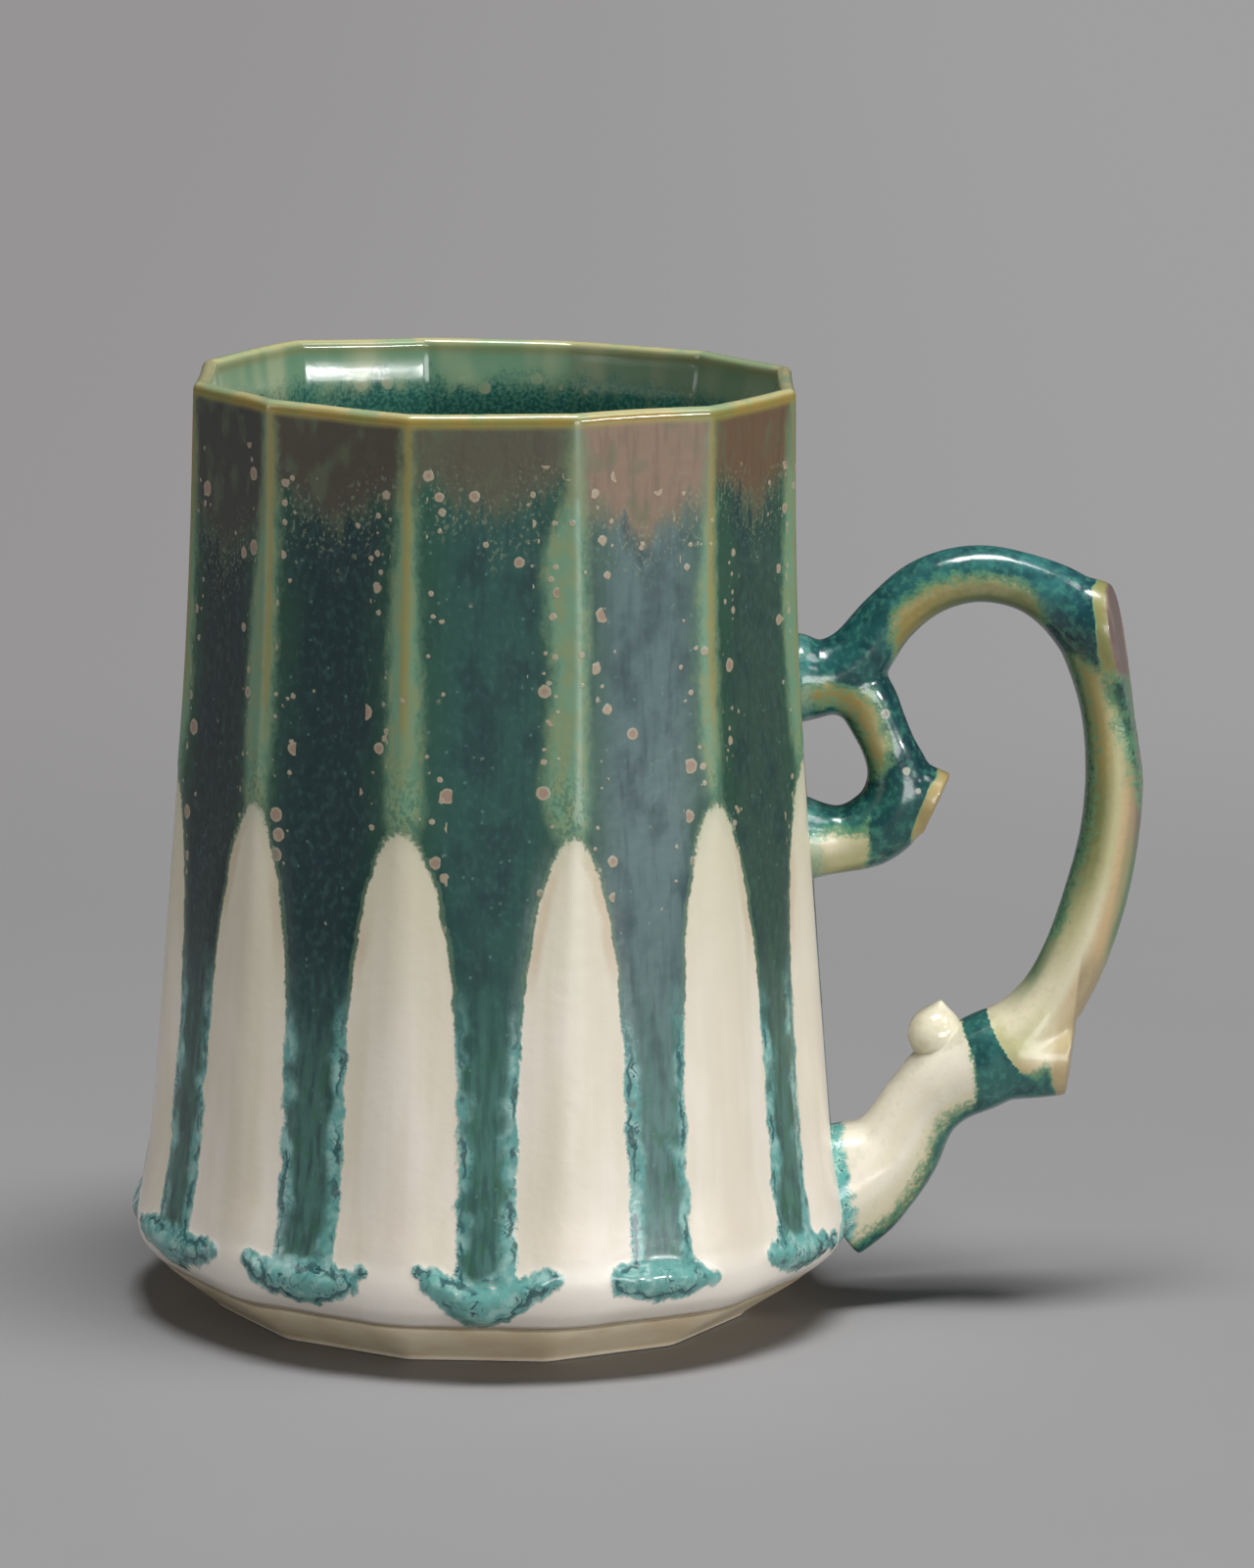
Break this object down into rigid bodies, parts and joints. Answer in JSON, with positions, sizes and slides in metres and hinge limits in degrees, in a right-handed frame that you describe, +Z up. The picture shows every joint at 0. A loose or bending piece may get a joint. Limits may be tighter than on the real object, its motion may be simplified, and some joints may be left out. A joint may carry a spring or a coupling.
{
  "type": "mug",
  "caption": "Tall faceted porcelain mug with a flared shoulder, a tapered foot and a branch-shaped handle with a small side loop, in running teal glaze over cream.",
  "frame": {"origin": "the body's axis, at the level of the surface that the foot stands on", "axes": "+Z up, +X from the body's axis to the handle, +Y square to the handle's plane"},
  "size_m": [0.1393, 0.0988, 0.13],
  "materials": {
    "wall_glaze": "semi-gloss running glaze, teal over cream, with small crystals",
    "foot_glaze": "satin cream glaze",
    "branch_teal_glaze": "gloss teal glaze breaking to olive where thin",
    "branch_olive_glaze": "gloss olive and cream glaze",
    "branch_cream_glaze": "gloss cream glaze with teal in the hollows"
  },
  "bodies": {
    "root": {"body_wall": "wall_glaze", "foot_and_floor": "foot_glaze", "upper_root": "branch_teal_glaze", "handle_bow": "branch_teal_glaze", "pruned_knuckle": "branch_olive_glaze", "handle_grip": "branch_olive_glaze", "pruned_elbow": "branch_cream_glaze", "lower_root": "branch_cream_glaze", "leaf_bud": "branch_cream_glaze", "twig_stem": "branch_teal_glaze", "pruned_knob": "branch_teal_glaze", "twig_root": "branch_cream_glaze"}
  },
  "joints": []
}
